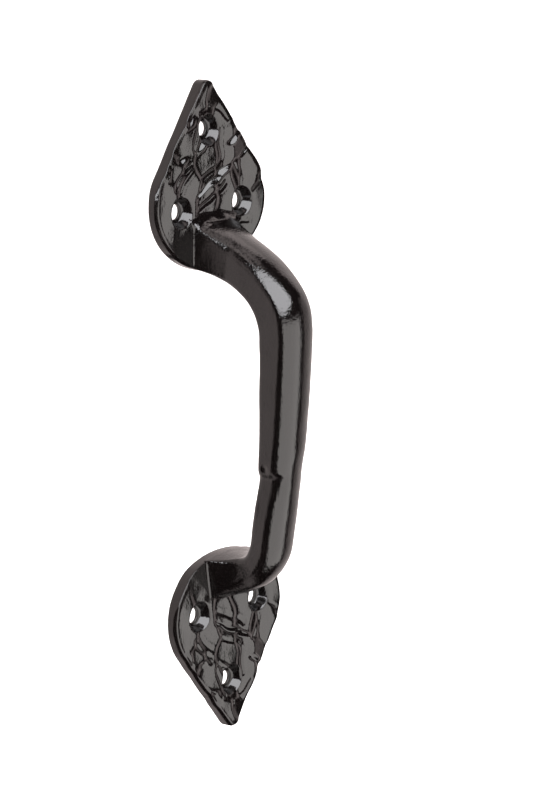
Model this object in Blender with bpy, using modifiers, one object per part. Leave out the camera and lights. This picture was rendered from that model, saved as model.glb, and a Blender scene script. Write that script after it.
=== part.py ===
"""Bow pull handle: two pointed leaf plates and a D-section grip bar, screwed together from behind.

Metres, +Z up. The fixing side lies in the plane Y = 0, the grip stands out towards -Y, and X runs across the
handle. The origin is on the upper plate's back face, in the middle of its three fixing holes.
"""

from math import cos, pi, radians, sin

import bmesh
import bpy
from mathutils import Vector

MM = 0.001

# Driving dimensions. Heights marked "from centre" are measured from the middle of the handle's length.
LENGTH = 178 * MM  # from tip to tip
CENTRE_BELOW_ORIGIN = 62 * MM
GAP = 0.3 * MM  # clearance between pieces that touch

# Leaf plate
PLATE_THICKNESS = 3.4 * MM
PLATE_WIDTH = 44.4 * MM
WIDEST_FROM_CENTRE = 56 * MM
ROUND_END_FROM_CENTRE = 38.5 * MM
TIP_HALF_ANGLE = radians(37)
TIP_RADIUS = 2.9 * MM
EDGE_DRAFT = 0.6 * MM  # how much smaller the front outline is than the back one
EDGE_BREAK = 0.3 * MM  # small bevel round the front face
FIXING_HOLES = ((-12.4 * MM, 55 * MM), (12.4 * MM, 55 * MM), (0, 75.6 * MM))  # across, from centre
FIXING_HOLE_RADIUS = 2.2 * MM
COUNTERSINK_RADIUS = 4.25 * MM  # its wall slopes at 45 degrees

# Foot joint: a flat spigot in a pocket, and a countersunk M4 screw from the back
FOOT_FROM_CENTRE = 44.5 * MM
SPIGOT_WIDTH, SPIGOT_HEIGHT, SPIGOT_LENGTH = 12 * MM, 8 * MM, 1 * MM
SCREW_RADIUS = 2 * MM
SCREW_HEAD_RADIUS = 3.75 * MM  # its underside slopes at 45 degrees
SCREW_HEAD_BELOW_FACE = 0.2 * MM
SCREW_LENGTH = 10 * MM
SCREW_POINT_CHAMFER = 0.5 * MM
SCREW_SLOT_WIDTH, SCREW_SLOT_DEPTH = 1.2 * MM, 0.9 * MM

# Grip bar: the line nearest the door and the line furthest from it, as (Y, Z from centre) in mm, foot to foot
INNER_LINE = (
    (-3.7, 38.6), (-9, 37), (-15, 34.1), (-19.4, 30.3), (-21.7, 25.2), (-21.9, 17), (-21, 6),
    (-20, -8), (-18.5, -20), (-16.4, -30), (-15.4, -34.9), (-13.4, -38), (-9.2, -38.9), (-3.7, -38.9),
)
OUTER_LINE = (
    (-3.7, 52.2), (-10.5, 49.6), (-17.6, 46), (-24.7, 41.1), (-31.3, 33.3), (-33.2, 20), (-31.7, 6),
    (-29.8, -8), (-27.5, -20), (-25.4, -31), (-23.3, -39.5), (-18.4, -45.8), (-11.5, -49.4), (-3.7, -51.5),
)
STEPS_PER_STATION = 4
GRIP_HALF_WIDTH = 7 * MM  # at the top of the grip
GRIP_TAPER = 0.9 * MM  # how much less that is at the lower elbow
GRIP_CROWN, GRIP_BELLY, GRIP_CORNER = 4.2 * MM, 0.5 * MM, 1.6 * MM
ROOT_FRONT_HALF_WIDTH, ROOT_BACK_HALF_WIDTH = 8.6 * MM, 11 * MM
ROOT_CROWN, ROOT_BELLY, ROOT_CORNER = 2.4 * MM, 1.1 * MM, 0.8 * MM
ROOT_REACH = 11 * MM  # the flare fades over this distance from the plate

ROUND_STEPS = 32
CUT_OVERSHOOT = 1 * MM  # how far a cutter stands out of the face that it cuts

PIECES = "bow_pull_handle"
CUTTERS = "cutters"


def start_scene():
    """Clears the scene and makes the two collections."""
    for old in list(bpy.data.objects):
        bpy.data.objects.remove(old)
    for name in (PIECES, CUTTERS):
        collection = bpy.data.collections.new(name)
        bpy.context.scene.collection.children.link(collection)


def add_object(name, mesh, collection=PIECES):
    made = bpy.data.objects.new(name, mesh)
    bpy.data.collections[collection].objects.link(made)
    return made


def add_cutter(name, mesh):
    cutter = add_object(name, mesh, CUTTERS)
    cutter.hide_render = True
    cutter.display_type = "WIRE"
    return cutter


def material(name, colour, roughness, metallic):
    made = bpy.data.materials.new(name)
    made.use_nodes = True
    shader = made.node_tree.nodes["Principled BSDF"]
    shader.inputs["Base Color"].default_value = (*colour, 1)
    shader.inputs["Roughness"].default_value = roughness
    shader.inputs["Metallic"].default_value = metallic
    return made


def evaluated_mesh(made, name):
    """The object's mesh with its modifiers applied, as new mesh data."""
    graph = bpy.context.evaluated_depsgraph_get()
    mesh = bpy.data.meshes.new_from_object(made.evaluated_get(graph))
    mesh.name = name
    return mesh


def cut(target, cutter):
    modifier = target.modifiers.new(cutter.name, "BOOLEAN")
    modifier.operation = "DIFFERENCE"
    modifier.object = cutter


def round_over(target, smooth_angle=35):
    target.data.shade_smooth()
    target.data.set_sharp_from_angle(angle=radians(smooth_angle))


def arc(centre, radius, start, end, steps):
    """Points on an arc from one angle to another, both ends included. radius may be a pair."""
    across, along = radius if isinstance(radius, tuple) else (radius, radius)
    angles = [start + (end - start) * i / steps for i in range(steps + 1)]
    return [(centre[0] + across * cos(a), centre[1] + along * sin(a)) for a in angles]


def half_outline(inset):
    """Half of the leaf outline, from the round end to the tip, as (across, from centre)."""
    half = PLATE_WIDTH / 2
    centre = (0, WIDEST_FROM_CENTRE)
    end_reach = WIDEST_FROM_CENTRE - ROUND_END_FROM_CENTRE
    round_end = arc(centre, (half - inset, end_reach - inset), -pi / 2, 0, 12)
    # The straight side runs at the tip's half angle and touches both the tip arc and the shoulder arc.
    tip_centre = LENGTH / 2 - TIP_RADIUS
    apex = tip_centre + TIP_RADIUS / sin(TIP_HALF_ANGLE)
    side_offset = (apex - WIDEST_FROM_CENTRE) * sin(TIP_HALF_ANGLE) - half * cos(TIP_HALF_ANGLE)
    shoulder = side_offset / (1 - cos(TIP_HALF_ANGLE))
    shoulder_centre = (half - shoulder, WIDEST_FROM_CENTRE)
    shoulder_arc = arc(shoulder_centre, shoulder - inset, 0, TIP_HALF_ANGLE, 5)
    tip_arc = arc((0, tip_centre), TIP_RADIUS - inset, TIP_HALF_ANGLE, pi / 2, 5)
    return round_end + shoulder_arc[1:] + tip_arc


def leaf_outline(inset, height):
    half = half_outline(inset)
    mirrored = [(-across, along) for across, along in reversed(half[1:-1])]
    return [Vector((across, along, height)) for across, along in half + mirrored]


def loft(name, rings):
    """A closed solid through rings of equally many points, with a flat face on each end ring."""
    cage = bmesh.new()
    loops = [[cage.verts.new(point) for point in ring] for ring in rings]
    for loop, following in zip(loops, loops[1:]):
        for k in range(len(loop)):
            cage.faces.new((loop[k - 1], loop[k], following[k], following[k - 1]))
    cage.faces.new(loops[0])
    cage.faces.new(loops[-1])
    bmesh.ops.recalc_face_normals(cage, faces=cage.faces)
    mesh = bpy.data.meshes.new(name)
    cage.to_mesh(mesh)
    cage.free()
    return mesh


def leaf_blank():
    """The leaf without holes, its wall drawn in towards the front face."""
    rings = (
        leaf_outline(0, 0),
        leaf_outline(EDGE_DRAFT, PLATE_THICKNESS - EDGE_BREAK),
        leaf_outline(EDGE_DRAFT + EDGE_BREAK, PLATE_THICKNESS),
    )
    return loft("leaf", rings)


def turned(name, profile):
    """A closed turned shape from (radius, height) points, listed from top to bottom."""
    mesh = bpy.data.meshes.new(name)
    edges = [(i, i + 1) for i in range(len(profile) - 1)]
    mesh.from_pydata([(radius, 0, height) for radius, height in profile], edges, [])
    lathe = add_object(name + "_profile", mesh)
    screw = lathe.modifiers.new("turn", "SCREW")
    screw.steps = screw.render_steps = ROUND_STEPS
    screw.use_merge_vertices = True
    screw.merge_threshold = 0.01 * MM
    made = evaluated_mesh(lathe, name)
    bpy.data.objects.remove(lathe)
    return made


def box_mesh(name, size):
    cage = bmesh.new()
    bmesh.ops.create_cube(cage, size=1)
    bmesh.ops.scale(cage, vec=size, verts=cage.verts)
    mesh = bpy.data.meshes.new(name)
    cage.to_mesh(mesh)
    cage.free()
    return mesh


def fixing_hole_cutter():
    """A countersunk through hole, its wide end up at the plate's front face."""
    top = PLATE_THICKNESS + CUT_OVERSHOOT
    cone_foot = PLATE_THICKNESS - (COUNTERSINK_RADIUS - FIXING_HOLE_RADIUS)
    profile = (
        (0, top),
        (COUNTERSINK_RADIUS + CUT_OVERSHOOT, top),
        (FIXING_HOLE_RADIUS, cone_foot),
        (FIXING_HOLE_RADIUS, -CUT_OVERSHOOT),
        (0, -CUT_OVERSHOOT),
    )
    return turned("fixing_hole", profile)


def screw_head_height():
    return SCREW_HEAD_RADIUS - SCREW_RADIUS


def foot_screw_cutter():
    """The plate's clearance for the foot screw, countersunk from the back face at height 0."""
    wide = SCREW_HEAD_RADIUS + GAP
    narrow = SCREW_RADIUS + GAP
    mouth = SCREW_HEAD_BELOW_FACE
    profile = (
        (0, PLATE_THICKNESS + CUT_OVERSHOOT),
        (narrow, PLATE_THICKNESS + CUT_OVERSHOOT),
        (narrow, mouth + screw_head_height()),
        (wide, mouth),
        (wide, -CUT_OVERSHOOT),
        (0, -CUT_OVERSHOOT),
    )
    return turned("foot_screw_clearance", profile)


def leaf_mesh():
    """The finished leaf plate, flat in XY with its back face at Z = 0."""
    leaf = add_object("leaf", leaf_blank())
    cutters = [add_cutter(f"fixing_hole_cutter_{i}", fixing_hole_cutter()) for i in range(3)]
    for cutter, (across, along) in zip(cutters, FIXING_HOLES):
        cutter.location = (across, along, 0)
    screw = add_cutter("foot_screw_cutter", foot_screw_cutter())
    screw.location = (0, FOOT_FROM_CENTRE, 0)
    pocket_depth = SPIGOT_LENGTH + CUT_OVERSHOOT
    pocket = add_cutter(
        "spigot_pocket_cutter",
        box_mesh("spigot_pocket", (SPIGOT_WIDTH + 2 * GAP, SPIGOT_HEIGHT + 2 * GAP, pocket_depth)),
    )
    pocket.location = (0, FOOT_FROM_CENTRE, PLATE_THICKNESS - SPIGOT_LENGTH + pocket_depth / 2)
    for cutter in (*cutters, screw, pocket):
        cut(leaf, cutter)
    bpy.context.view_layer.update()
    mesh = evaluated_mesh(leaf, "leaf_plate")
    bpy.data.objects.remove(leaf)
    return mesh


def plates(centre, enamel):
    """Both plates share one mesh. The lower one is turned half round about Y."""
    mesh = leaf_mesh()
    mesh.materials.clear()
    mesh.materials.append(enamel)
    for name, turn in (("upper_plate", 0), ("lower_plate", pi)):
        plate = add_object(name, mesh)
        plate.rotation_euler = (pi / 2, turn, 0)
        plate.parent = centre
    round_over(plate)


def blend_points(points, position):
    """A point on the smooth curve through the points, at a position counted in points."""
    last = len(points) - 1
    i = min(int(position), last - 1)
    t = position - i
    before, start, end, after = (Vector(points[min(max(k, 0), last)]) for k in (i - 1, i, i + 1, i + 2))
    return 0.5 * (
        2 * start
        + (end - before) * t
        + (2 * before - 5 * start + 4 * end - after) * t**2
        + (3 * start - 3 * end + after - before) * t**3
    )


def grip_section(inner, outer):
    """One closed D section between an inner and an outer point, as a list of 3D points."""
    depth = (outer - inner).length
    out = (outer - inner) / depth
    middle = (inner + outer) / 2
    flare = max(0, 1 - (-middle.x - PLATE_THICKNESS) / ROOT_REACH) ** 2
    lowness = min(max((LENGTH / 4 - middle.y) / (LENGTH / 2), 0), 1)

    def flared(grip, root):
        return grip + (root - grip) * flare

    grip_half_width = GRIP_HALF_WIDTH - GRIP_TAPER * lowness
    front_half_width = flared(grip_half_width, ROOT_FRONT_HALF_WIDTH)
    back_half_width = flared(grip_half_width, ROOT_BACK_HALF_WIDTH)
    crown = flared(GRIP_CROWN, ROOT_CROWN)
    belly = flared(GRIP_BELLY, ROOT_BELLY)
    corner = flared(GRIP_CORNER, ROOT_CORNER)
    edge = back_half_width - corner
    front = arc((0, -crown), (front_half_width, crown), pi / 2, 0, 7)
    corner_arc = arc((edge, belly + corner - depth), corner, 0, -pi / 2, 3)
    back = [(edge * k, -depth + belly * k**2) for k in (2 / 3, 1 / 3)]
    half = front + corner_arc + back
    mirrored = [(-across, along) for across, along in reversed(half[1:])]
    loop = half + [(0, -depth)] + mirrored
    return [Vector((across, *(outer + out * along))) for across, along in loop]


def grip_mesh():
    """The bow, lofted through its sections from the upper foot to the lower one."""
    inner = [(y * MM, z * MM) for y, z in INNER_LINE]
    outer = [(y * MM, z * MM) for y, z in OUTER_LINE]
    rings = []
    for i in range((len(inner) - 1) * STEPS_PER_STATION + 1):
        position = i / STEPS_PER_STATION
        rings.append(grip_section(blend_points(inner, position), blend_points(outer, position)))
    return loft("bow", rings)


def screw_bore_depth():
    """How deep the foot's screw hole goes, from the door plane."""
    return SCREW_HEAD_BELOW_FACE + SCREW_LENGTH + 2 * GAP


def foot_shapes(side):
    """The spigot and the screw bore of the foot on one side, +1 for the upper and -1 for the lower."""
    height = side * FOOT_FROM_CENTRE
    overlap = 1 * MM
    spigot_size = (SPIGOT_WIDTH, SPIGOT_LENGTH + overlap, SPIGOT_HEIGHT)
    spigot = add_cutter(f"spigot_{side:+d}", box_mesh("spigot", spigot_size))
    spigot.location = (0, -PLATE_THICKNESS - GAP + (SPIGOT_LENGTH - overlap) / 2, height)
    bore = turned(
        "foot_bore",
        (
            (0, screw_bore_depth()),
            (SCREW_RADIUS + GAP, screw_bore_depth()),
            (SCREW_RADIUS + GAP, 0),
            (0, 0),
        ),
    )
    bore_cutter = add_cutter(f"foot_bore_{side:+d}", bore)
    bore_cutter.rotation_euler = (pi / 2, 0, 0)
    bore_cutter.location = (0, 0, height)
    return spigot, bore_cutter


def grip_bar(centre, enamel):
    grip = add_object("grip_bar", grip_mesh())
    grip.data.materials.append(enamel)
    for side in (1, -1):
        spigot, bore = foot_shapes(side)
        join = grip.modifiers.new(spigot.name, "BOOLEAN")
        join.operation = "UNION"
        join.object = spigot
        cut(grip, bore)
    bpy.context.view_layer.update()
    finished = evaluated_mesh(grip, "grip_bar")
    grip.modifiers.clear()
    grip.data = finished
    grip.parent = centre
    round_over(grip)


def foot_screw_mesh():
    """A slotted countersunk screw along Z, with its head's flat face at Z = 0 and its point at +Z."""
    profile = (
        (0, SCREW_LENGTH),
        (SCREW_RADIUS - SCREW_POINT_CHAMFER, SCREW_LENGTH),
        (SCREW_RADIUS, SCREW_LENGTH - SCREW_POINT_CHAMFER),
        (SCREW_RADIUS, screw_head_height()),
        (SCREW_HEAD_RADIUS, 0),
        (0, 0),
    )
    body = add_object("foot_screw", turned("foot_screw", profile))
    slot_size = (3 * SCREW_HEAD_RADIUS, SCREW_SLOT_WIDTH, 2 * SCREW_SLOT_DEPTH)
    cut(body, add_cutter("screw_slot_cutter", box_mesh("screw_slot", slot_size)))
    bpy.context.view_layer.update()
    mesh = evaluated_mesh(body, "foot_screw")
    bpy.data.objects.remove(body)
    return mesh


def foot_screws(centre, steel):
    mesh = foot_screw_mesh()
    mesh.materials.clear()
    mesh.materials.append(steel)
    for name, side in (("upper_foot_screw", 1), ("lower_foot_screw", -1)):
        screw = add_object(name, mesh)
        screw.rotation_euler = (pi / 2, 0, 0)
        screw.location = (0, -SCREW_HEAD_BELOW_FACE, side * FOOT_FROM_CENTRE)
        screw.parent = centre
    round_over(screw)


def main():
    start_scene()
    enamel = material("black_enamel", (0.012, 0.011, 0.011), 0.12, 0.0)
    steel = material("zinc_plated_steel", (0.55, 0.55, 0.56), 0.35, 1.0)
    centre = bpy.data.objects.new("handle_centre", None)
    bpy.data.collections[PIECES].objects.link(centre)
    centre.location = (0, 0, -CENTRE_BELOW_ORIGIN)
    plates(centre, enamel)
    grip_bar(centre, enamel)
    foot_screws(centre, steel)


main()
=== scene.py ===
"""The looks of the bow pull handle: hammered plates and a forged grip in black enamel, and steel foot screws.

Shapes are worked out in millimetres. On a plate, x is across the handle, u runs from the handle's centre
towards the plate's tip, and t from the door outwards. The grip uses the row frame's x, y and z, with z
counted from the handle's centre. to_row() puts both into the row frame. The overall sizes are those of the
CAD model.
"""

from math import cos, pi, radians, sin

import bmesh
import bpy
import numpy as np
from mathutils import Matrix, Vector, noise
from mathutils.geometry import delaunay_2d_cdt

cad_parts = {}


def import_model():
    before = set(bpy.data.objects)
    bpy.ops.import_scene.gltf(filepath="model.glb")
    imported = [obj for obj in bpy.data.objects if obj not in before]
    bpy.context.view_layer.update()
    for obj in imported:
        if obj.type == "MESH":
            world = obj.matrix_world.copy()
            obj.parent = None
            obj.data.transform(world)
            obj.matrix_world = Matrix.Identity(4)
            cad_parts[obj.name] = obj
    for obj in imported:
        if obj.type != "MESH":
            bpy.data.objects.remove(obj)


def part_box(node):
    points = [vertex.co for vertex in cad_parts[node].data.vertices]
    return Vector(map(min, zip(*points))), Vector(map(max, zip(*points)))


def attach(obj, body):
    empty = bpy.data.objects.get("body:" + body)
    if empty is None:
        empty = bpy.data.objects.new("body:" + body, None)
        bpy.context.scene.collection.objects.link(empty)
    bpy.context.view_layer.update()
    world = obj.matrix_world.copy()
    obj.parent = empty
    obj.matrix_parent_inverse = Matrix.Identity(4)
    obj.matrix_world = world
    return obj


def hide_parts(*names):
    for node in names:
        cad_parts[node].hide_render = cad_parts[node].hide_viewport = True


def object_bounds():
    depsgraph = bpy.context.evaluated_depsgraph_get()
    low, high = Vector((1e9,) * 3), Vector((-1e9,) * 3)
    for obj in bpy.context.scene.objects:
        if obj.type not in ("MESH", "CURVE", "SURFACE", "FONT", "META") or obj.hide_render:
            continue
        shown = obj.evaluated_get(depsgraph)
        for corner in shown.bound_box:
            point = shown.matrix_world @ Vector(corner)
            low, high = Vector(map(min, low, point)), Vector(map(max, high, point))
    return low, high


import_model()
CAD_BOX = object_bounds()

MM = 0.001
PLATE_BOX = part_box("upper_plate")
CENTRE_Z = (CAD_BOX[0].z + CAD_BOX[1].z) / 2
HALF_LENGTH = (CAD_BOX[1].z - CAD_BOX[0].z) / 2 / MM
HALF_WIDTH = (CAD_BOX[1].x - CAD_BOX[0].x) / 2 / MM
THICKNESS = (PLATE_BOX[1].y - PLATE_BOX[0].y) / MM

# Leaf outline
WIDEST = 56.0  # u of the widest place
ROUND_END = 38.5  # u of the end under the grip
TIP_HALF_ANGLE = radians(37)
TIP_RADIUS = 2.9
BACK_EDGE = ((0.25, 0.0), (0.075, 0.08), (0.0, 0.25))  # (inset from the outline, height) of its rounding
# The front edge, as (inset from the outline, depth below the front): bevelled, and sharp
BEVEL = ((0.0, 0.92), (0.15, 0.68), (0.45, 0.22), (0.52, 0.13), (0.61, 0.05), (0.8, 0.01), (1.3, 0.0))
SHARP_EDGE = ((0.05, 0.8), (0.08, 0.4), (0.11, 0.2), (0.15, 0.1), (0.24, 0.04), (0.5, 0.01), (1.5, 0.0))
# An edge that faces up by more than this is sharp. Below it the bevel comes in over a short fade.
SHARP_FACING, SHARP_FADE = 0.5, 0.3
TIP_WEAR, TIP_WEAR_FROM, TIP_WEAR_FADE = 0.3, 83.0, 1.5  # the upper plate's tip is bevelled a little
WEAR_NOISE, WEAR_GRAIN = 0.25, 2.2  # how unevenly the edge turns from sharp to bevelled
WALL_NOISE, WALL_GRAIN, WALL_DRIFT = 0.04, 2.5, 3.0  # of the side wall. Its noise drifts with height.
WALL_RINGS = 6
OUTLINE_NOISE, OUTLINE_GRAIN, OUTLINE_SHRINK = 0.12, 5.0, 0.1
ROUND_END_STEPS, SHOULDER_STEPS, TIP_STEPS = 60, 20, 16
EDGE_STEPS, GROOVE_STEPS = 3, 6  # steps between two points of an edge's profile, and of a groove's path
POINT_SPACING = 0.26
ROW_PITCH, EDGE_CLEARANCE = 0.87, 0.6  # of the points inside the face, in point spacings

# Fixing holes, as (x, u, bore radius, bore length), narrowed a little by the enamel
FIXING_HOLES = ((-12.4, 55.0, 2.1, 0.9), (12.4, 55.0, 2.1, 0.9), (0.0, 75.6, 1.9, 0.9))
COUNTERSINK_RADIUS = 4.25
BORE_SHIFT = (-0.4, 0.3)  # of a bore from its countersink, across and upwards
WALL_SLOPE = 1.95  # of a countersink's wall, down to a ledge round the bore
WALL_KNEE = 0.15  # rounding between the wall and the ledge
LEDGE_EDGE, BORE_CHAMFER = 0.12, 0.2  # the bore's first ring below the ledge, and the chamfer at its back
LIP = 0.3  # rounding of a countersink's rim
RIM_DROP = 0.02  # the least that the wall lies below the face
# Where a countersink has its rings, as parts of the way from its rim to the bore
HOLE_RINGS = (
    0.03, 0.06, 0.1, 0.15, 0.25, 0.4, 0.48, 0.53, 0.57, 0.6, 0.63, 0.66, 0.7, 0.75, 0.85, 0.95, 1.0,
)
FOOT = (0.0, 44.5)
SCREW_CLEARANCE = 2.3
SCREW_MOUTH = 4.05  # radius of the countersink for the screw's head

# Grip lines, nearest the door and furthest from it, as (y, z from centre)
INNER_LINE = (
    (-3.7, 38.6), (-9, 37), (-15, 34.1), (-19.4, 30.3), (-21.7, 25.2), (-21.9, 19), (-21, 7),
    (-20, -8), (-18.5, -20), (-16.4, -30), (-15.4, -34.9), (-13.4, -38), (-9.2, -38.9), (-3.7, -38.9),
)
OUTER_LINE = (
    (-3.7, 52.2), (-10.5, 49.6), (-17.6, 46), (-24.7, 41.1), (-31.3, 33.3), (-33.2, 24.5), (-31.8, 7),
    (-29.8, -8), (-27.5, -20), (-25.4, -31), (-23.3, -39.5), (-18.4, -45.8), (-11.5, -49.4), (-3.7, -51.5),
)
# The bar's section: its half width at the top and what it loses by the bottom, how far its front and its back
# bulge, and the radius of the back's corners. The ROOT_ values are those at the feet.
GRIP_HALF_WIDTH, GRIP_TAPER = 7.0, 0.9
GRIP_CROWN, GRIP_BELLY, GRIP_CORNER = 4.2, 0.5, 1.6
CROWN_LEAN = 0.7  # the crown's ridge lies this far to the left
ROOT_FRONT_HALF_WIDTH, ROOT_BACK_HALF_WIDTH = 8.2, 9.2
ROOT_CROWN, ROOT_BELLY, ROOT_CORNER = 1.3, 1.1, 0.12
ROOT_REACH, FLARE_POWER = 10.0, 1.2  # how far from the plate the foot begins to spread, and how fast
CROWN_STEPS, CORNER_STEPS, BELLY_STEPS = 60, 12, 10
GRIP_STEPS = 26  # rings between two stations
SHARP_ANGLE = radians(35)  # shading breaks at edges sharper than this
RING_POINTS = 192
FOOT_FILLET = 0.6
TOP_FILLET, TOP_FILLET_FROM, TOP_FILLET_FADE = 2.2, 49.6, 1.6  # larger above the upper foot, from this z
FILLET_RISE = 0.25  # the fillet starts this far above the plate
FILLET_FROM, FILLET_FADE = 39.5, 2.5  # it fades out where the foot reaches the plate's round end
FOOT_SINK = 0.5  # how far the foot goes into the plate, so that no seam shows

# Foot screw
SCREW_RADIUS, SCREW_HEAD_RADIUS, SCREW_LENGTH = 2.0, 3.75, 10.0
SCREW_RIM, SCREW_POINT = 0.25, 0.5  # height of the head's straight rim, and the chamfer at the end
SCREW_STEPS = 72
BORE_SPARE = 0.8  # the bore in the foot is this much longer than the screw
SCREW_SINK = 0.2  # how far the head lies below the plate's back
HEAD_CHAMFER = (0.15, 0.1)  # its width and its depth
SLOT_WIDTH, SLOT_DEPTH, SLOT_TURN = 1.2, 0.9, 25
SLOT_SOFTENING = 0.08


def to_row(x, y, z):
    """A point in mm, z counted from the handle's centre, in the row frame."""
    return Vector((x * MM, y * MM, CENTRE_Z + z * MM))


def resample(points, count, closed=False):
    """Points at equal spacing along a polyline."""
    points = np.asarray(points, float)
    if closed:
        points = np.vstack([points, points[:1]])
    steps = np.linalg.norm(np.diff(points, axis=0), axis=1)
    length = np.concatenate([[0], np.cumsum(steps)])
    places = np.linspace(0, length[-1], count, endpoint=not closed)
    return np.stack([np.interp(places, length, axis) for axis in points.T], axis=1)


def curve_through(points, steps):
    """A smooth (Catmull-Rom) polyline through the points."""
    points = np.asarray(points, float)
    last = len(points) - 1
    made = []
    for place in np.linspace(0, last, last * steps + 1):
        i = min(int(place), last - 1)
        t = place - i
        before, start, end, after = (points[min(max(k, 0), last)] for k in (i - 1, i, i + 1, i + 2))
        made.append(
            0.5
            * (
                2 * start
                + (end - before) * t
                + (2 * before - 5 * start + 4 * end - after) * t**2
                + (3 * start - 3 * end + after - before) * t**3
            )
        )
    return np.array(made)


def arc(centre, radius, start, end, steps):
    """Points on an arc of a circle or, where radius is a pair, of an ellipse."""
    across, along = radius if isinstance(radius, tuple) else (radius, radius)
    angles = np.linspace(start, end, steps + 1)
    return np.stack([centre[0] + across * np.cos(angles), centre[1] + along * np.sin(angles)], axis=1)


def smooth_step(value):
    """0 below 0, 1 above 1, and a smooth rise between."""
    value = np.clip(value, 0, 1)
    return value * value * (3 - 2 * value)


def noise_field(points, scale, seed):
    """Smooth seeded noise, about -1 to 1, at points in mm. scale is its grain in mm."""
    shift = Vector((seed * 17.3, seed * 5.9, seed * 11.1))
    return np.array([noise.noise(Vector(p) / scale + shift) for p in points])


def roughened(values, points, layers):
    """The values plus layers of noise at the points. A layer is (height, grain, seed)."""
    for height, grain, seed in layers:
        values = values + height * noise_field(points, grain, seed)
    return values


# Leaf plates

# Where a plate's outline stands out (+) or falls in (-), as (x, u, mm, spread)
OUTLINE_MARKS = {
    1: ((0, 38.5, 0.7, 9), (-21, 62, 0.15, 3), (11, 76, -0.35, 2), (21, 60, -0.3, 2), (14, 71, 0.2, 2)),
    -1: ((0, 38.5, -0.5, 9), (-14, 43.5, 0.3, 4), (19, 66, -0.4, 3), (12, 75, -0.3, 2), (-9, 80, -0.2, 1.5)),
}

# Flats left by the hammer, on both plates alike, the steep small ones last:
# (x, u, half length, half width, turn in degrees, slope across, slope along u, lift)
FLATS = (
    (-18.0, 56.0, 9.0, 3.0, 88, 0.09, 0.00, 0.00),
    (-9.2, 58.6, 7.0, 2.9, 82, 0.11, 0.00, 0.05),
    (5.8, 57.2, 5.0, 3.1, 78, 0.13, 0.01, 0.05),
    (15.5, 63.2, 5.4, 2.7, 82, 0.14, 0.01, 0.05),
    (16.8, 50.8, 6.5, 5.0, 75, 0.12, 0.00, 0.05),
    (-8.8, 71.6, 5.4, 3.0, 78, 0.09, 0.00, -0.10),
    (-13.8, 65.6, 3.0, 2.2, 40, 0.10, 0.00, 0.05),
    (-4.6, 83.0, 5.0, 2.6, 52, 0.10, 0.00, 0.05),
    (2.0, 84.0, 2.8, 1.5, 65, -0.05, 0.00, 0.00),
    (5.8, 78.4, 3.2, 1.8, -48, 0.12, -0.02, 0.10),
    (-2.2, 67.6, 3.6, 3.6, 0, 0.08, 0.00, 0.00),
    (2.9, 67.8, 3.4, 1.0, 82, -0.06, 0.00, -0.10),
    (7.2, 70.2, 5.0, 2.0, 84, 0.13, 0.02, 0.05),
    (12.3, 69.0, 2.6, 1.9, 35, -0.12, 0.04, 0.00),
    (10.4, 61.6, 3.6, 1.5, 98, -0.02, 0.00, 0.00),
    (-1.6, 56.6, 4.2, 3.0, 20, 0.09, 0.00, 0.00),
    (-12.0, 49.6, 4.5, 2.4, 88, 0.06, 0.00, 0.00),
    (-0.2, 61.0, 4.6, 0.62, 27, 0.45, -0.62, -0.20),
    (5.4, 64.2, 2.0, 0.80, 18, 0.45, -0.60, 0.05),
    (-3.2, 71.4, 2.3, 0.85, 48, 0.48, -0.50, 0.00),
    (9.0, 71.6, 1.9, 0.80, 20, 0.45, -0.60, 0.10),
    (-10.8, 68.9, 2.2, 0.95, 22, 0.45, -0.60, 0.00),
    (-8.4, 78.0, 4.4, 1.25, 42, 0.50, -0.55, -0.30),
    (-17.2, 65.4, 1.9, 1.10, 60, 0.50, -0.52, 0.00),
)
# Grooves between the flats: (height, half width, points of the path)
GROOVES = (
    (-0.22, 0.60, ((-4.4, 55.2), (-0.8, 56.9), (2.8, 59.0), (5.8, 61.2))),
    (
        -0.20,
        0.50,
        ((-4.6, 58.2), (-5.0, 61.2), (-3.6, 63.4), (0.0, 64.6), (3.0, 66.4), (4.2, 69.0), (4.6, 74.8)),
    ),
    (-0.16, 0.45, ((-5.4, 69.6), (-6.3, 71.2), (-5.8, 73.8), (-4.9, 76.6), (-2.9, 79.4))),
    (-0.14, 0.50, ((-2.7, 80.6), (0.3, 81.4), (4.6, 80.6), (7.9, 77.6))),
    (-0.20, 0.55, ((-14.6, 61.4), (-12.4, 64.4), (-10.2, 66.6), (-7.6, 67.6))),
    (-0.14, 0.50, ((-12.2, 60.6), (-10.8, 63.0), (-9.2, 64.8), (-7.2, 66.0))),
    (-0.16, 0.45, ((8.9, 65.6), (11.0, 63.6), (12.0, 61.2), (12.2, 59.2))),
    (-0.16, 0.55, ((10.7, 49.4), (12.6, 50.3), (14.8, 49.9))),
    (-0.18, 0.55, ((10.0, 66.0), (12.3, 66.6), (14.8, 68.4))),
    (-0.16, 0.45, ((-0.3, 81.6), (-0.6, 83.6), (0.4, 86.4))),
    (-0.16, 0.45, ((17.2, 57.4), (18.6, 58.6), (19.9, 59.6))),
)
GROOVE_BANK, BANK_FROM, BANK_WIDTH = 0.12, 1.9, 0.7  # the bank beside a groove, in its depth and half width
FLAT_SHARPNESS = 2.2
LEVEL_GROUND = 0.004  # weight of the unstruck face between the flats
# Noise as (mm, grain, seed): what bends the pattern along x and along u, and what roughens the face
BEND_X = ((0.9, 5, 11), (0.08, 2, 12))
BEND_U = ((0.9, 5, 13), (0.08, 2, 14))
FACE_NOISE = ((0.08, 7, 1), (0.008, 2.4, 2))
PIT_NOISE = (0.012, 0.9, 3)
PITTED_AREA = (-2.0, 67.5, 4.0, 3.0)  # x, u and its reach along each
# How far off a plate's noise is read, so that the plates differ: for its face, its edge and its outline
PLATES_APART = (40.0, 60.0, 90.0)


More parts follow.
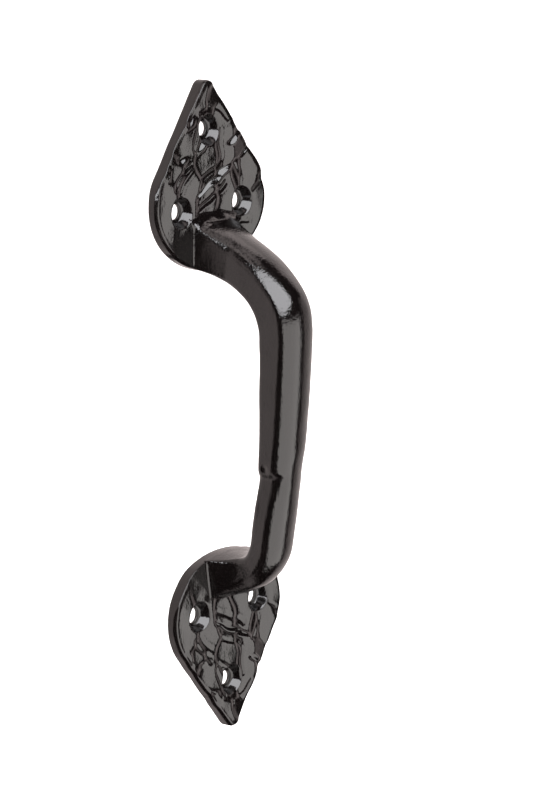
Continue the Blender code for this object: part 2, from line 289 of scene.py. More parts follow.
def path_distance(x, u, path):
    """Distance of each point from a polyline."""
    nearest = np.full(x.shape, 1e9)
    for start, end in zip(path, path[1:]):
        along = end - start
        part = np.clip(((x - start[0]) * along[0] + (u - start[1]) * along[1]) / (along @ along), 0, 1)
        gap = np.hypot(x - start[0] - part * along[0], u - start[1] - part * along[1])
        nearest = np.minimum(nearest, gap)
    return nearest


def flats(x, u):
    """Height of the tilted flats, each blending into its neighbours over a short bank."""
    total = np.full(x.shape, LEVEL_GROUND)
    height = np.zeros(x.shape)
    for centre_x, centre_u, half_length, half_width, turn, slope_x, slope_u, lift in FLATS:
        c, s = cos(radians(turn)), sin(radians(turn))
        across, along = x - centre_x, u - centre_u
        reach = ((across * c + along * s) / half_length) ** 2 + ((along * c - across * s) / half_width) ** 2
        weight = np.exp(-FLAT_SHARPNESS * reach)
        total += weight
        height += weight * (lift + slope_x * across + slope_u * along)
    return height / total


def relief(x, u, side):
    """Height of a plate's front face above its nominal plane, in mm."""
    shared = np.stack([x, u, np.zeros(x.shape)], axis=1)
    x = roughened(x, shared, BEND_X)
    u = roughened(u, shared, BEND_U)
    places = np.stack([x, u, np.full(x.shape, PLATES_APART[0] * side)], axis=1)
    height = roughened(flats(x, u), places, FACE_NOISE)
    pit_x, pit_u, reach_x, reach_u = PITTED_AREA
    pitted = np.exp(-(((x - pit_x) / reach_x) ** 2) - ((u - pit_u) / reach_u) ** 2)
    pit_depth, pit_grain, pit_seed = PIT_NOISE
    height += pit_depth * pitted * noise_field(places, pit_grain, pit_seed)
    for rise, half_width, path in GROOVES:
        gap = path_distance(x, u, curve_through(path, GROOVE_STEPS)) / half_width
        bank = np.exp(-(((gap - BANK_FROM) / BANK_WIDTH) ** 2))
        height += rise * (np.exp(-(gap**2)) - GROOVE_BANK * bank)
    return height


def leaf_outline(side):
    """The back outline with its hand-made unevenness, and its outward normals."""
    round_end = arc((0, WIDEST), (HALF_WIDTH, WIDEST - ROUND_END), -pi / 2, 0, ROUND_END_STEPS)
    tip_centre = HALF_LENGTH - TIP_RADIUS
    apex = tip_centre + TIP_RADIUS / sin(TIP_HALF_ANGLE)
    side_offset = (apex - WIDEST) * sin(TIP_HALF_ANGLE) - HALF_WIDTH * cos(TIP_HALF_ANGLE)
    shoulder = side_offset / (1 - cos(TIP_HALF_ANGLE))
    shoulder_arc = arc((HALF_WIDTH - shoulder, WIDEST), shoulder, 0, TIP_HALF_ANGLE, SHOULDER_STEPS)
    tip_arc = arc((0, tip_centre), TIP_RADIUS, TIP_HALF_ANGLE, pi / 2, TIP_STEPS)
    half = np.vstack([round_end, shoulder_arc[1:], tip_arc])
    loop = np.vstack([half, half[-2:0:-1] * (-1, 1)])
    perimeter = np.linalg.norm(np.diff(loop, axis=0), axis=1).sum()
    loop = resample(loop, round(perimeter / POINT_SPACING), closed=True)
    tangent = np.roll(loop, -2, axis=0) - np.roll(loop, 2, axis=0)
    normal = np.stack([tangent[:, 1], -tangent[:, 0]], axis=1)
    normal /= np.linalg.norm(normal, axis=1)[:, None]
    places = np.column_stack([loop, np.full(len(loop), PLATES_APART[2] * side)])
    stands_out = OUTLINE_NOISE * noise_field(places, OUTLINE_GRAIN, 4) - OUTLINE_SHRINK
    for x, u, amount, spread in OUTLINE_MARKS[side]:
        stands_out += amount * np.exp(-(((loop[:, 0] - x) ** 2 + (loop[:, 1] - u) ** 2) / spread**2))
    return loop + normal * stands_out[:, None], normal


def circle(centre, radius, count=96):
    """Evenly spaced points on a circle."""
    angles = np.linspace(0, 2 * pi, count, endpoint=False)
    return np.stack([centre[0] + radius * np.cos(angles), centre[1] + radius * np.sin(angles)], axis=1)


def inside_loop(points, loop):
    """Whether each point is inside a closed polyline, by counting crossings."""
    ends = np.roll(loop, -1, axis=0)
    x, y = points[:, 0, None], points[:, 1, None]
    spans = (loop[:, 1] > y) != (ends[:, 1] > y)
    slope = (ends[:, 0] - loop[:, 0]) / np.where(ends[:, 1] == loop[:, 1], 1e-9, ends[:, 1] - loop[:, 1])
    crossing = loop[:, 0] + (y - loop[:, 1]) * slope
    return (spans & (x < crossing)).sum(axis=1) % 2 == 1


class Skin:
    """Points and faces of a mesh being made."""

    def __init__(self):
        self.points = []
        self.faces = []

    def ring(self, points):
        """Adds points and returns their numbers."""
        first = len(self.points)
        self.points.extend(np.asarray(points, float).tolist())
        return list(range(first, len(self.points)))

    def bridge(self, ring, following):
        """Joins two closed rings of as many points with a band of faces."""
        for k in range(len(ring)):
            self.faces.append((ring[k - 1], ring[k], following[k], following[k - 1]))

    def patch(self, rings, inner=()):
        """Fills the flat area inside the first ring and outside the others with triangles."""
        used = [i for ring in rings for i in ring] + list(inner)
        flat = [Vector(self.points[i][:2]) for i in used]
        edges, first = [], 0
        for ring in rings:
            edges += [(first + k, first + (k + 1) % len(ring)) for k in range(len(ring))]
            first += len(ring)
        made = delaunay_2d_cdt(flat, edges, [], 0, 1e-7)
        source = [used[origin[0]] for origin in made[3]]
        corners = np.array(made[2])
        middles = np.array([v[:] for v in made[0]])[corners].mean(axis=1)
        outline = np.array(self.points)[:, :2]
        keep = inside_loop(middles, outline[rings[0]])
        for hole in rings[1:]:
            keep &= ~inside_loop(middles, outline[hole])
        self.faces.extend(tuple(source[i] for i in corner) for corner in corners[keep])

    def mesh(self, name, place):
        """The finished mesh data, each point put in the row frame by place(point)."""
        data = bpy.data.meshes.new(name)
        data.from_pydata([place(*point) for point in self.points], [], self.faces)
        cage = bmesh.new()
        cage.from_mesh(data)
        bmesh.ops.recalc_face_normals(cage, faces=cage.faces)
        cage.to_mesh(data)
        cage.free()
        data.shade_smooth()
        return data


def lattice(outline, holes):
    """Evenly spread points inside the outline, clear of its edge and of the holes."""
    step = POINT_SPACING
    rows = np.arange(outline[:, 1].min(), outline[:, 1].max(), step * ROW_PITCH)
    columns = np.arange(-HALF_WIDTH, HALF_WIDTH, step)
    grid = np.array([(x + step / 2 * (k % 2), u) for k, u in enumerate(rows) for x in columns])
    keep = inside_loop(grid, outline)
    for centre, radius in holes:
        keep &= np.hypot(grid[:, 0] - centre[0], grid[:, 1] - centre[1]) > radius + EDGE_CLEARANCE * step
    grid = grid[keep]
    nearest = np.array([np.min(np.hypot(*(outline - point).T)) for point in grid])
    return grid[nearest > EDGE_CLEARANCE * step]


def with_height(flat, height):
    """Points (x, u, t) from points (x, u) and their height, or one height for all."""
    return np.column_stack([flat, np.broadcast_to(height, len(flat))])


def front_height(flat, side):
    """Height of a plate's front face above the door."""
    return THICKNESS + relief(flat[:, 0], flat[:, 1], side)


def countersunk_hole(skin, centre, side, radius, land):
    """The rings of one fixing hole, its bore a little off centre. Returns the front and the back one."""
    mouth = COUNTERSINK_RADIUS + LIP
    shift = np.array([BORE_SHIFT[0], BORE_SHIFT[1] * side])
    front = circle(centre, mouth)
    first = last = skin.ring(with_height(front, front_height(front, side)))
    for part in HOLE_RINGS:
        at = mouth + (radius - mouth) * part
        flat = circle(centre + shift * part, at)
        surface = front_height(flat, side)
        straight = THICKNESS - WALL_SLOPE * (COUNTERSINK_RADIUS - at)
        wall = land + WALL_KNEE * np.logaddexp(0, (straight - land) / WALL_KNEE)
        lip = smooth_step((mouth - at) / (2 * LIP))
        rim = surface - LIP * ((mouth - at) / (1.5 * LIP)) ** 2
        height = np.minimum(rim * (1 - lip) + wall * lip, surface - RIM_DROP)
        ring = skin.ring(with_height(flat, height))
        skin.bridge(last, ring)
        last = ring
    bore = circle(centre + shift, radius)
    edge = circle(centre + shift, radius + BORE_CHAMFER)
    for flat, height in ((bore, land - LEDGE_EDGE), (bore, BORE_CHAMFER), (edge, 0)):
        ring = skin.ring(with_height(flat, height))
        skin.bridge(last, ring)
        last = ring
    return first, last


def screw_hole(skin, side):
    """The rings of the hole for the foot screw. Returns the front and the back one."""
    flat = circle(FOOT, SCREW_CLEARANCE)
    first = last = skin.ring(with_height(flat, front_height(flat, side)))
    cone_top = SCREW_SINK + SCREW_MOUTH - SCREW_CLEARANCE
    for radius, height in ((SCREW_CLEARANCE, cone_top), (SCREW_MOUTH, SCREW_SINK), (SCREW_MOUTH, 0)):
        ring = skin.ring(with_height(circle(FOOT, radius), height))
        skin.bridge(last, ring)
        last = ring
    return first, last


def front_edge(outline, normal, places, side):
    """The front edge at each outline point, as levels of (inset, depth below the front), outermost first."""
    bevel, sharp = (curve_through(profile, EDGE_STEPS)[:, None, :] for profile in (BEVEL, SHARP_EDGE))
    worn = smooth_step((SHARP_FACING - normal[:, 1] * side) / SHARP_FADE)
    if side > 0:
        worn += TIP_WEAR * smooth_step((outline[:, 1] - TIP_WEAR_FROM) / TIP_WEAR_FADE)
    worn = np.clip(worn + WEAR_NOISE * noise_field(places, WEAR_GRAIN, 9), 0, 1)[:, None]
    return sharp + (bevel - sharp) * worn


def leaf_sides(skin, side):
    """The rings from a plate's back face, up its side and over its front edge.

    Returns the first ring, the last one, and the last one's points as (x, u).
    """
    outline, normal = leaf_outline(side)
    first = last = skin.ring(with_height(outline - normal * BACK_EDGE[0][0], BACK_EDGE[0][1]))

    def add_ring(inset, height):
        ring = skin.ring(with_height(outline - normal * inset, height))
        skin.bridge(last, ring)
        return ring

    for inset, height in BACK_EDGE[1:]:
        last = add_ring(inset, height)
    places = np.column_stack([outline, np.full(len(outline), PLATES_APART[1] * side)])
    edge = front_edge(outline, normal, places, side)
    rim = outline - normal * edge[-1, :, :1]
    top = front_height(rim, side)
    wall_foot, wall_top = BACK_EDGE[-1][1], top - edge[0, :, 1]
    for k in range(1, WALL_RINGS):
        part = k / WALL_RINGS
        drifted = places + (0, 0, WALL_DRIFT * part)
        rough = WALL_NOISE * sin(pi * part) * noise_field(drifted, WALL_GRAIN, 5)
        inset = edge[0, :, 0] * part - rough
        last = add_ring(inset[:, None], wall_foot + (wall_top - wall_foot) * part)
    for level in edge:
        last = add_ring(level[:, :1], top - level[:, 1])
    return first, last, rim


def leaf_plate(name, side, finish, back_finish):
    """One plate. side is +1 for the upper one and -1 for the lower one, which is mirrored."""
    skin = Skin()
    back, last, rim = leaf_sides(skin, side)
    holes = [
        countersunk_hole(skin, np.array([x, u]), side, radius, land) for x, u, radius, land in FIXING_HOLES
    ]
    holes.append(screw_hole(skin, side))
    clear = [(hole[:2], COUNTERSINK_RADIUS + LIP) for hole in FIXING_HOLES] + [(FOOT, SCREW_CLEARANCE)]
    flat = lattice(rim, clear)
    inner = skin.ring(with_height(flat, front_height(flat, side)))
    skin.patch([last] + [front for front, _ in holes], inner)
    front_faces = len(skin.faces)
    skin.patch([back] + [rear for _, rear in holes])
    data = skin.mesh(name, lambda x, u, t: to_row(x, -t, side * u))
    data.materials.append(finish)
    data.materials.append(back_finish)
    for face in data.polygons[front_faces:]:
        face.material_index = 1
        face.use_smooth = False
    return show(name, data, name)


# Grip


def grip_section(inner, outer):
    """The D section between an inner and an outer point, as RING_POINTS points (x, y, z)."""
    depth = np.linalg.norm(outer - inner)
    out = (outer - inner) / depth
    middle = (inner + outer) / 2
    flare = min(max(0, 1 - (-middle[0] - THICKNESS) / ROOT_REACH) ** FLARE_POWER, 1)
    lowness = min(max((HALF_LENGTH / 2 - middle[1]) / HALF_LENGTH, 0), 1)

    def flared(in_grip, at_root):
        return in_grip + (at_root - in_grip) * flare

    grip_half_width = GRIP_HALF_WIDTH - GRIP_TAPER * lowness
    front_half_width = flared(grip_half_width, ROOT_FRONT_HALF_WIDTH)
    back_half_width = flared(grip_half_width, ROOT_BACK_HALF_WIDTH)
    crown = flared(GRIP_CROWN, ROOT_CROWN)
    belly = flared(GRIP_BELLY, ROOT_BELLY)
    corner = flared(GRIP_CORNER, ROOT_CORNER)
    edge = back_half_width - corner
    front = arc((0, -crown), (front_half_width, crown), pi / 2, 0, CROWN_STEPS)
    corner_arc = arc((edge, belly + corner - depth), corner, 0, -pi / 2, CORNER_STEPS)
    back = [(edge * k, -depth + belly * k**2) for k in np.linspace(0.9, 0, BELLY_STEPS)]
    half = np.vstack([front, corner_arc, back])
    loop = np.vstack([half, half[-2:0:-1] * (-1, 1)])
    loop = resample(loop, RING_POINTS, closed=True)
    across = np.clip(loop[:, 0] / front_half_width, -1, 1)
    lean = CROWN_LEAN * (1 - across**2) * smooth_step(1 + loop[:, 1] / crown)
    return np.column_stack([loop[:, 0] - lean, outer + out * loop[:, 1, None]])


def bore_rings(foot_ring, side):
    """The end face's inner edge and the screw bore, outside in, matched to the foot's ring."""
    angles = np.arctan2(foot_ring[:, 2] - side * FOOT[1], foot_ring[:, 0])
    mouth = -(THICKNESS - FOOT_SINK)
    rings = []
    for y in (mouth, -SCREW_LENGTH - BORE_SPARE):
        x = SCREW_CLEARANCE * np.cos(angles)
        z = side * FOOT[1] + SCREW_CLEARANCE * np.sin(angles)
        rings.append(np.column_stack([x, np.full(RING_POINTS, y), z]))
    return rings


# Marks of the hammer on the grip: (x, y, z, mm outwards, spread)
GRIP_MARKS = (
    (-6.8, -22.8, -13.2, -0.5, 1.0),
    (6.8, -26.0, -13.0, -0.35, 4.0),
)
# The nick in the grip's left edge: z, depth, spread above and below, and the x and y that it starts from
NICK_Z, NICK_DEPTH, NICK_ABOVE, NICK_BELOW = -16.4, 1.4, 1.8, 6.5
NICK_X, NICK_X_FADE, NICK_Y, NICK_Y_FADE = -1.0, 6.0, -17.5, 3.0
GRIP_NOISE = ((0.10, 9, 6), (0.035, 3, 7))  # mm, grain, seed
LUMPS, LUMP_GRAIN, LUMP_STRETCH, LUMP_REACH = 0.45, 1.5, 0.45, 3.2  # on top of the roots, near the plates


def forge(points, normals):
    """Moves the grip's points along their normals: slight waves, dents and the lumps at its roots."""
    moved = roughened(np.zeros(len(points)), points, GRIP_NOISE)
    for x, y, z, amount, spread in GRIP_MARKS:
        gap = ((points - (x, y, z)) ** 2).sum(axis=1)
        moved += amount * np.exp(-gap / spread**2)
    near_plate = np.exp(-(((points[:, 1] + THICKNESS) / LUMP_REACH) ** 2))
    facing_away = np.clip(normals[:, 2] * np.sign(points[:, 2]), 0, 1)
    stretched = points * (LUMP_STRETCH, 1, 1)
    moved += LUMPS * near_plate * facing_away * noise_field(stretched, LUMP_GRAIN, 8)
    forged = points + normals * moved[:, None]
    above = points[:, 2] - NICK_Z
    along = np.exp(-((above / np.where(above > 0, NICK_ABOVE, NICK_BELOW)) ** 2))
    at_edge = smooth_step((NICK_X - points[:, 0]) / NICK_X_FADE)
    at_edge *= smooth_step((NICK_Y - points[:, 1]) / NICK_Y_FADE)
    forged[:, 0] += NICK_DEPTH * along * at_edge
    return forged


def ring_normals(grid):
    """Outward unit normals of a grid of rings."""
    along = np.gradient(grid, axis=0)
    around = np.roll(grid, -1, axis=1) - np.roll(grid, 1, axis=1)
    normals = np.cross(along, around)
    normals /= np.linalg.norm(normals, axis=2)[..., None]
    outwards = grid - grid.mean(axis=1, keepdims=True)
    if (normals * outwards).sum() < 0:
        normals = -normals
    return normals


def fillet_foot(grid):
    """Spreads the grip out where it meets a plate, like the fillet of a forging."""
    height = -grid[..., 1] - THICKNESS
    on_top = smooth_step((grid[..., 2] - TOP_FILLET_FROM) / TOP_FILLET_FADE)
    radius = FOOT_FILLET + (TOP_FILLET - FOOT_FILLET) * on_top
    left = np.clip(1 - (height - FILLET_RISE) / radius, 0, 1)
    on_plate = smooth_step((np.abs(grid[..., 2]) - FILLET_FROM) / FILLET_FADE)
    spread = radius * (1 - np.sqrt(1 - left**2)) * on_plate
    middle = np.array([0.0, 0.0, 1.0]) * np.sign(grid[..., 2:3]) * FOOT[1]
    outwards = grid - middle
    outwards[..., 1] = 0
    outwards /= np.linalg.norm(outwards, axis=2)[..., None]
    return grid + outwards * spread[..., None]


def grip(finish):
    """The grip bar: rings along its two lines, forged, spread at the feet and bored for the foot screws."""
    inner = curve_through(INNER_LINE, GRIP_STEPS)
    outer = curve_through(OUTER_LINE, GRIP_STEPS)
    rings = [grip_section(a, b) for a, b in zip(inner, outer)]
    sunk = -(THICKNESS - FOOT_SINK)
    for first, at in ((rings[0], 0), (rings[-1], len(rings) + 1)):
        end = first.copy()
        end[:, 1] = sunk
        rings.insert(at, end)
    grid = np.array(rings)
    shape = grid.shape
    normals = ring_normals(grid)
    grid = forge(grid.reshape(-1, 3), normals.reshape(-1, 3)).reshape(shape)
    grid = fillet_foot(grid)
    grid[0, :, 1] = grid[-1, :, 1] = sunk
    upper_bore = bore_rings(grid[0], 1)
    lower_bore = bore_rings(grid[-1], -1)
    skin = Skin()
    last = None
    for points in [*upper_bore[::-1], *grid, *lower_bore]:
        ring = skin.ring(points)
        if last:
            skin.bridge(last, ring)
        else:
            skin.faces.append(tuple(ring))
        last = ring
    skin.faces.append(tuple(last))
    data = skin.mesh("grip", to_row)
    data.set_sharp_from_angle(angle=SHARP_ANGLE)
    data.materials.append(finish)
    return show("grip", data, "grip_bar")


# Foot screws


def foot_screw(name, side, finish):
    """A slotted countersunk screw, turned from its profile, in its hole at the back of the foot."""
    head_height = SCREW_HEAD_RADIUS - SCREW_RADIUS
    profile = (  # radius, depth
        (SCREW_HEAD_RADIUS - HEAD_CHAMFER[0], 0.0),
        (SCREW_HEAD_RADIUS, HEAD_CHAMFER[1]),
        (SCREW_HEAD_RADIUS, SCREW_RIM),
        (SCREW_RADIUS, head_height + SCREW_RIM),
        (SCREW_RADIUS, SCREW_LENGTH - SCREW_POINT),
        (SCREW_RADIUS - SCREW_POINT, SCREW_LENGTH),
    )
    skin = Skin()
    last = None
    for radius, depth in profile:
        ring = skin.ring(with_height(circle((0, 0), radius, SCREW_STEPS), depth))
        if last:
            skin.bridge(last, ring)
        else:
            skin.faces.append(tuple(ring))
        last = ring
    skin.faces.append(tuple(last))
    data = skin.mesh(name, lambda x, z, depth: Vector((x * MM, -depth * MM, z * MM)))
    data.materials.append(finish)
    screw = show(name, data, name)
    screw.location = to_row(0, -SCREW_SINK, side * FOOT[1])
    cut_slot(screw, SLOT_TURN * side)
    return screw


def cut_slot(screw, turn):
    """Cuts the driver slot into a screw's head and softens its edges. turn is in degrees."""
    name = screw.data.name + "_slot"
    slot = bpy.data.meshes.new(name)
    size = (3 * SCREW_HEAD_RADIUS * MM, 2 * SLOT_DEPTH * MM, SLOT_WIDTH * MM)
    cage = bmesh.new()
    bmesh.ops.create_cube(cage, size=1)
    bmesh.ops.scale(cage, vec=size, verts=cage.verts)
    bmesh.ops.rotate(cage, matrix=Matrix.Rotation(radians(turn), 3, "Y"), verts=cage.verts)
    cage.to_mesh(slot)
    cage.free()
    cutter = bpy.data.objects.new(name, slot)
    bpy.context.scene.collection.objects.link(cutter)
    cutter.location = screw.location
    cut = screw.modifiers.new("slot", "BOOLEAN")
    cut.operation = "DIFFERENCE"
    cut.object = cutter
    soften = screw.modifiers.new("soften", "BEVEL")
    soften.width = SLOT_SOFTENING * MM
    soften.segments = 2
    soften.limit_method = "ANGLE"
    bpy.context.view_layer.update()
    evaluated = screw.evaluated_get(bpy.context.evaluated_depsgraph_get())
    finished = bpy.data.meshes.new_from_object(evaluated)
    screw.modifiers.clear()
    screw.data = finished
    bpy.data.objects.remove(cutter)


def show(name, data, node):
    """Adds a piece that stands for a CAD node."""
    piece = bpy.data.objects.new(name + "_look", data)
    bpy.context.scene.collection.objects.link(piece)
    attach(piece, "root")
    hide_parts(node)
    return piece


# Materials

PLATE_PEEL, GRIP_PEEL = 0.02, 0.06  # depth of the enamel's orange peel in mm


def new_material(name):
    """A material with its nodes, its links and its main shader."""
    made = bpy.data.materials.new(name)
    made.use_nodes = True
    nodes = made.node_tree.nodes
    return made, nodes, made.node_tree.links, nodes["Principled BSDF"]


def add_noise(nodes, links, where, scale, detail=2.0):
    """Noise whose grain is about 1 / scale metres. where is the node output that gives the position."""
    made = nodes.new("ShaderNodeTexNoise")
    made.inputs["Scale"].default_value = scale
    made.inputs["Detail"].default_value = detail
    links.new(where, made.inputs["Vector"])
    return made.outputs["Fac"]


def add_range(nodes, links, value, low, high, to_low, to_high):
    """Maps low..high to to_low..to_high, clamped."""
    made = nodes.new("ShaderNodeMapRange")
    links.new(value, made.inputs["Value"])
    for socket, number in zip(("From Min", "From Max", "To Min", "To Max"), (low, high, to_low, to_high)):
        made.inputs[socket].default_value = number
    return made.outputs["Result"]


def add_mix(nodes, links, factor, first, second):
    """Blends from the first colour to the second."""
    made = nodes.new("ShaderNodeMix")
    made.data_type = "RGBA"
    links.new(factor, made.inputs["Factor"])
    made.inputs["A"].default_value = (*first, 1)
    made.inputs["B"].default_value = (*second, 1)
    return made.outputs["Result"]


def add_bump(nodes, links, height, distance, strength, before=None):
    """Bumps of this distance in metres, on top of an earlier normal if one is given."""
    made = nodes.new("ShaderNodeBump")
    made.inputs["Distance"].default_value = distance
    made.inputs["Strength"].default_value = strength
    links.new(height, made.inputs["Height"])
    if before:
        links.new(before, made.inputs["Normal"])
    return made.outputs["Normal"]


def black_enamel(name, peel_depth):
    """Thick gloss black enamel: slightly warm and uneven, with orange peel of this depth in mm."""
    made, nodes, links, shader = new_material(name)
    where = nodes.new("ShaderNodeTexCoord").outputs["Object"]
    tint = add_noise(nodes, links, where, 90, 3)
    colour = add_mix(nodes, links, tint, (0.0010, 0.0008, 0.0008), (0.0028, 0.0020, 0.0019))
    links.new(colour, shader.inputs["Base Color"])
    gloss = add_range(nodes, links, add_noise(nodes, links, where, 240, 3), 0.3, 0.7, 0.08, 0.14)
    links.new(gloss, shader.inputs["Roughness"])
    peel = add_bump(nodes, links, add_noise(nodes, links, where, 1800, 1), peel_depth * MM, 1.0)
    waves = add_bump(nodes, links, add_noise(nodes, links, where, 330, 1), 0.06 * MM, 0.4, peel)
    links.new(waves, shader.inputs["Normal"])
    return made


def back_enamel():
    """The sand-cast back under the same enamel, duller and pitted."""
    made, nodes, links, shader = new_material("black_enamel_back")
    where = nodes.new("ShaderNodeTexCoord").outputs["Object"]
    tint = add_noise(nodes, links, where, 160, 4)
    colour = add_mix(nodes, links, tint, (0.008, 0.007, 0.007), (0.022, 0.019, 0.018))
    links.new(colour, shader.inputs["Base Color"])
    gloss = add_range(nodes, links, add_noise(nodes, links, where, 400, 3), 0.3, 0.7, 0.28, 0.5)
    links.new(gloss, shader.inputs["Roughness"])
    grain = add_bump(nodes, links, add_noise(nodes, links, where, 1500, 4), 0.12 * MM, 0.7)
    links.new(grain, shader.inputs["Normal"])
    return made


def plated_steel():
    """Zinc plating: bright grey with faint turning rings and a slight yellow passivation."""
    made, nodes, links, shader = new_material("zinc_plated_steel")
    shader.inputs["Metallic"].default_value = 1.0
    where = nodes.new("ShaderNodeTexCoord").outputs["Object"]
    tint = add_noise(nodes, links, where, 500, 3)
    colour = add_mix(nodes, links, tint, (0.50, 0.51, 0.52), (0.66, 0.63, 0.55))
    links.new(colour, shader.inputs["Base Color"])
    gloss = add_range(nodes, links, add_noise(nodes, links, where, 900, 3), 0.3, 0.7, 0.22, 0.42)
    links.new(gloss, shader.inputs["Roughness"])
    rings = nodes.new("ShaderNodeTexWave")
    rings.wave_type = "RINGS"
    rings.rings_direction = "Y"
    rings.inputs["Scale"].default_value = 1300
    rings.inputs["Distortion"].default_value = 1.5
    links.new(where, rings.inputs["Vector"])
    links.new(add_bump(nodes, links, rings.outputs["Fac"], 0.01 * MM, 0.4), shader.inputs["Normal"])
    return made


# Camera, stage and light

CAMERA_AZIMUTH, CAMERA_ELEVATION, CAMERA_ROLL = -0.883, 0.202, -0.039  # radians
CAMERA_DISTANCE = 0.86894  # metres
CAMERA_AIM = (23.56, 0.0, -2.03)
LENS = 141.82
FLOOR_HALF, FLOOR_DROP = 3.0, 0.12  # metres: half its side, and how far it lies below the handle


def camera():
    """A long lens, on the handle's left and a little above it."""
    data = bpy.data.cameras.new("camera")
    data.lens = LENS
    made = bpy.data.objects.new("camera", data)
    bpy.context.scene.collection.objects.link(made)
    a, e, r = CAMERA_AZIMUTH, CAMERA_ELEVATION, CAMERA_ROLL
    back = Vector((sin(a) * cos(e), -cos(a) * cos(e), sin(e)))
    right = Vector((cos(a), sin(a), 0))
    up = back.cross(right)
    turned = (right * cos(r) + up * sin(r), up * cos(r) - right * sin(r), back)
    made.matrix_world = Matrix(turned).transposed().to_4x4()
    made.location = to_row(*CAMERA_AIM) + back * CAMERA_DISTANCE
    bpy.context.scene.camera = made


def floor():
    """A plain pale floor."""
    data = bpy.data.meshes.new("floor")
    level = CAD_BOX[0].z - FLOOR_DROP
    corners = [(x * FLOOR_HALF, y * FLOOR_HALF, level) for x, y in ((-1, -1), (1, -1), (1, 1), (-1, 1))]
    data.from_pydata(corners, [], [(0, 1, 2, 3)])
    made, _, _, shader = new_material("pale_floor")
    shader.inputs["Base Color"].default_value = (0.9, 0.9, 0.9, 1)
    shader.inputs["Roughness"].default_value = 0.9
    shader.inputs["Emission Color"].default_value = (1, 1, 1, 1)
    shader.inputs["Emission Strength"].default_value = 0.9
    data.materials.append(made)
    obj = bpy.data.objects.new("floor", data)
    bpy.context.scene.collection.objects.link(obj)
    obj.visible_glossy = False


# Azimuths here are in degrees, 0 towards -X and 90 towards -Y. Elevations are in degrees above the horizon.
LAMP_DISTANCE = 1.2
# Lamps: (name, shape, aim, roll, middle, size, tint, radiance), as soft_box() takes them
LAMPS = (
    ("front_box", "RECTANGLE", (80, 0), 2, (0.0, -1.13), (3.0, 2.36), (1.0, 0.96, 0.93), 3.2),
    ("high_box", "ELLIPSE", (60, 44), 10, (-0.24, -0.1), (2.86, 1.14), (0.97, 0.97, 1.0), 9.0),
)


def soft_box(name, shape, aim, roll, middle, size, tint, radiance):
    """A lamp in a plane at LAMP_DISTANCE, which faces the handle squarely from aim = (azimuth, elevation).

    roll turns the plane, in degrees, and middle is the lamp's place in it: metres towards larger azimuths,
    and metres upwards.
    """
    azimuth, elevation, roll = radians(aim[0]), radians(aim[1]), radians(roll)
    back = Vector((-cos(azimuth) * cos(elevation), -sin(azimuth) * cos(elevation), sin(elevation)))
    level = Vector((sin(azimuth), -cos(azimuth), 0))
    rise = back.cross(level)
    across = level * cos(roll) + rise * sin(roll)
    up = rise * cos(roll) - level * sin(roll)
    data = bpy.data.lights.new(name, "AREA")
    data.shape = shape
    data.size, data.size_y = size
    data.color = tint
    area = size[0] * size[1] * (pi / 4 if shape == "ELLIPSE" else 1)
    data.energy = radiance * pi * area
    made = bpy.data.objects.new(name, data)
    bpy.context.scene.collection.objects.link(made)
    place = to_row(0, 0, 0) + back * LAMP_DISTANCE + across * middle[0] + up * middle[1]
    turned = Matrix((-across, up, back)).transposed()
    made.matrix_world = Matrix.Translation(place) @ turned.to_4x4()
    made.visible_camera = False


def add_math(nodes, links, operation, first, second):
    """A Math node. Each operand is a node output or a number."""
    made = nodes.new("ShaderNodeMath")
    made.operation = operation
    for socket, value in zip(made.inputs, (first, second)):
        if isinstance(value, (int, float)):
            socket.default_value = value
        else:
            links.new(value, socket)
    return made.outputs[0]


def azimuth_side(nodes, links, where, azimuth, growing):
    """1 on one side of a vertical plane at this azimuth, 0 on the other, with a soft step between.

    The side with 1 is where azimuths are larger if growing is true, and where they are smaller if not.
    """
    a = radians(azimuth)
    across = Vector((sin(a), -cos(a), 0)) * (1 if growing else -1)
    made = nodes.new("ShaderNodeVectorMath")
    made.operation = "DOT_PRODUCT"
    made.inputs[1].default_value = across
    links.new(where, made.inputs[0])
    return add_range(nodes, links, made.outputs["Value"], -BOARD_EDGE, BOARD_EDGE, 0, 1)


def board(nodes, links, where, height, azimuth, elevation, strength):
    """A white board that fills these ranges of azimuth and elevation, in degrees, with soft edges."""
    low, high = (sin(radians(e)) if e < 90 else PAST_ZENITH for e in elevation)
    left = azimuth_side(nodes, links, where, azimuth[0], True)
    right = azimuth_side(nodes, links, where, azimuth[1], False)
    bottom = add_range(nodes, links, height, low - BOARD_EDGE, low + BOARD_EDGE, 0, 1)
    top = add_range(nodes, links, height, high - BOARD_EDGE, high + BOARD_EDGE, strength, 0)
    shape = add_math(nodes, links, "MULTIPLY", left, right)
    shape = add_math(nodes, links, "MULTIPLY", shape, bottom)
    return add_math(nodes, links, "MULTIPLY", shape, top)


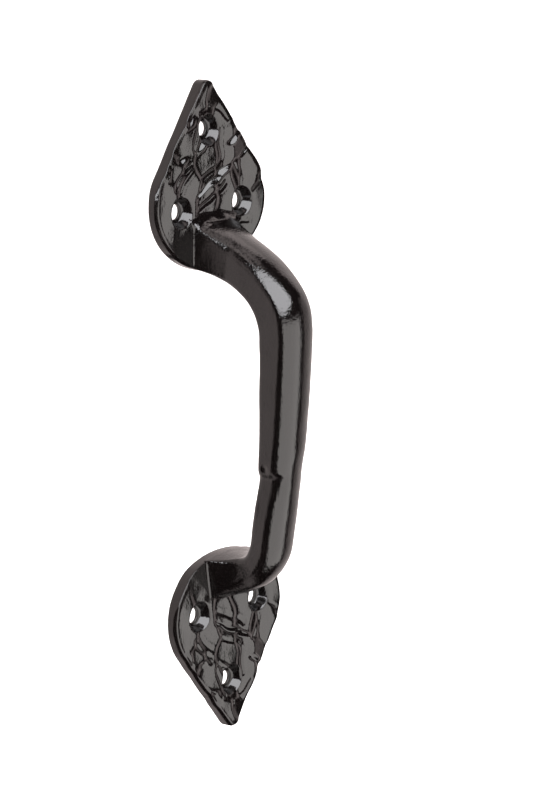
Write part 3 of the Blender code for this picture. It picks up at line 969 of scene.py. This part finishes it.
# White boards round the handle, as seen from it: (azimuths, elevations, strength)
BOARDS = (
    ((-142, -30), (-42, 72), 1.1),
    ((-40, -14), (3, 66), 1.1),
    ((-108, -15), (-78, -40), 0.85),
    ((148, 166), (-50, 16), 0.7),
    ((164, 226), (-60, 16), 0.95),
    ((166, 216), (14, 60), 1.3),
    ((168, 204), (50, 82), 2.3),
    ((-40, -16), (-12.5, -1), 0.8),
    ((-18, 17), (56, 80), 2.3),
    ((-15, 165), (77, 91), 2.6),
)
BOARD_TINT = (1.0, 0.88, 0.86)
BOARD_EDGE = 0.03  # half the width of a board's soft edge, as a sine
PAST_ZENITH = 1.1  # the height of a top edge that lies beyond straight up
DARK_STUDIO, BACKDROP = 0.01, 1.2


def world():
    """A white backdrop for the camera. What the handle reflects is white boards in a dark studio."""
    made = bpy.data.worlds.new("studio")
    bpy.context.scene.world = made
    made.use_nodes = True
    nodes, links = made.node_tree.nodes, made.node_tree.links
    background = nodes["Background"]
    where = nodes.new("ShaderNodeTexCoord").outputs["Generated"]
    split = nodes.new("ShaderNodeSeparateXYZ")
    links.new(where, split.inputs[0])
    reflected = DARK_STUDIO
    for azimuth, elevation, strength in BOARDS:
        white = board(nodes, links, where, split.outputs["Z"], azimuth, elevation, strength)
        reflected = add_math(nodes, links, "MAXIMUM", white, reflected)
    by_camera = nodes.new("ShaderNodeLightPath").outputs["Is Camera Ray"]
    links.new(add_mix(nodes, links, by_camera, BOARD_TINT, (1, 1, 1)), background.inputs["Color"])
    seen = nodes.new("ShaderNodeMix")
    links.new(by_camera, seen.inputs["Factor"])
    links.new(reflected, seen.inputs["A"])
    seen.inputs["B"].default_value = BACKDROP
    links.new(seen.outputs["Result"], background.inputs["Strength"])


def main():
    plate_enamel = black_enamel("plate_enamel", PLATE_PEEL)
    grip_enamel = black_enamel("grip_enamel", GRIP_PEEL)
    back, steel = back_enamel(), plated_steel()
    leaf_plate("upper_plate", 1, plate_enamel, back)
    leaf_plate("lower_plate", -1, plate_enamel, back)
    grip(grip_enamel)
    foot_screw("upper_foot_screw", 1, steel)
    foot_screw("lower_foot_screw", -1, steel)
    camera()
    floor()
    for lamp in LAMPS:
        soft_box(*lamp)
    world()
    bpy.context.scene.view_settings.view_transform = "Standard"


main()
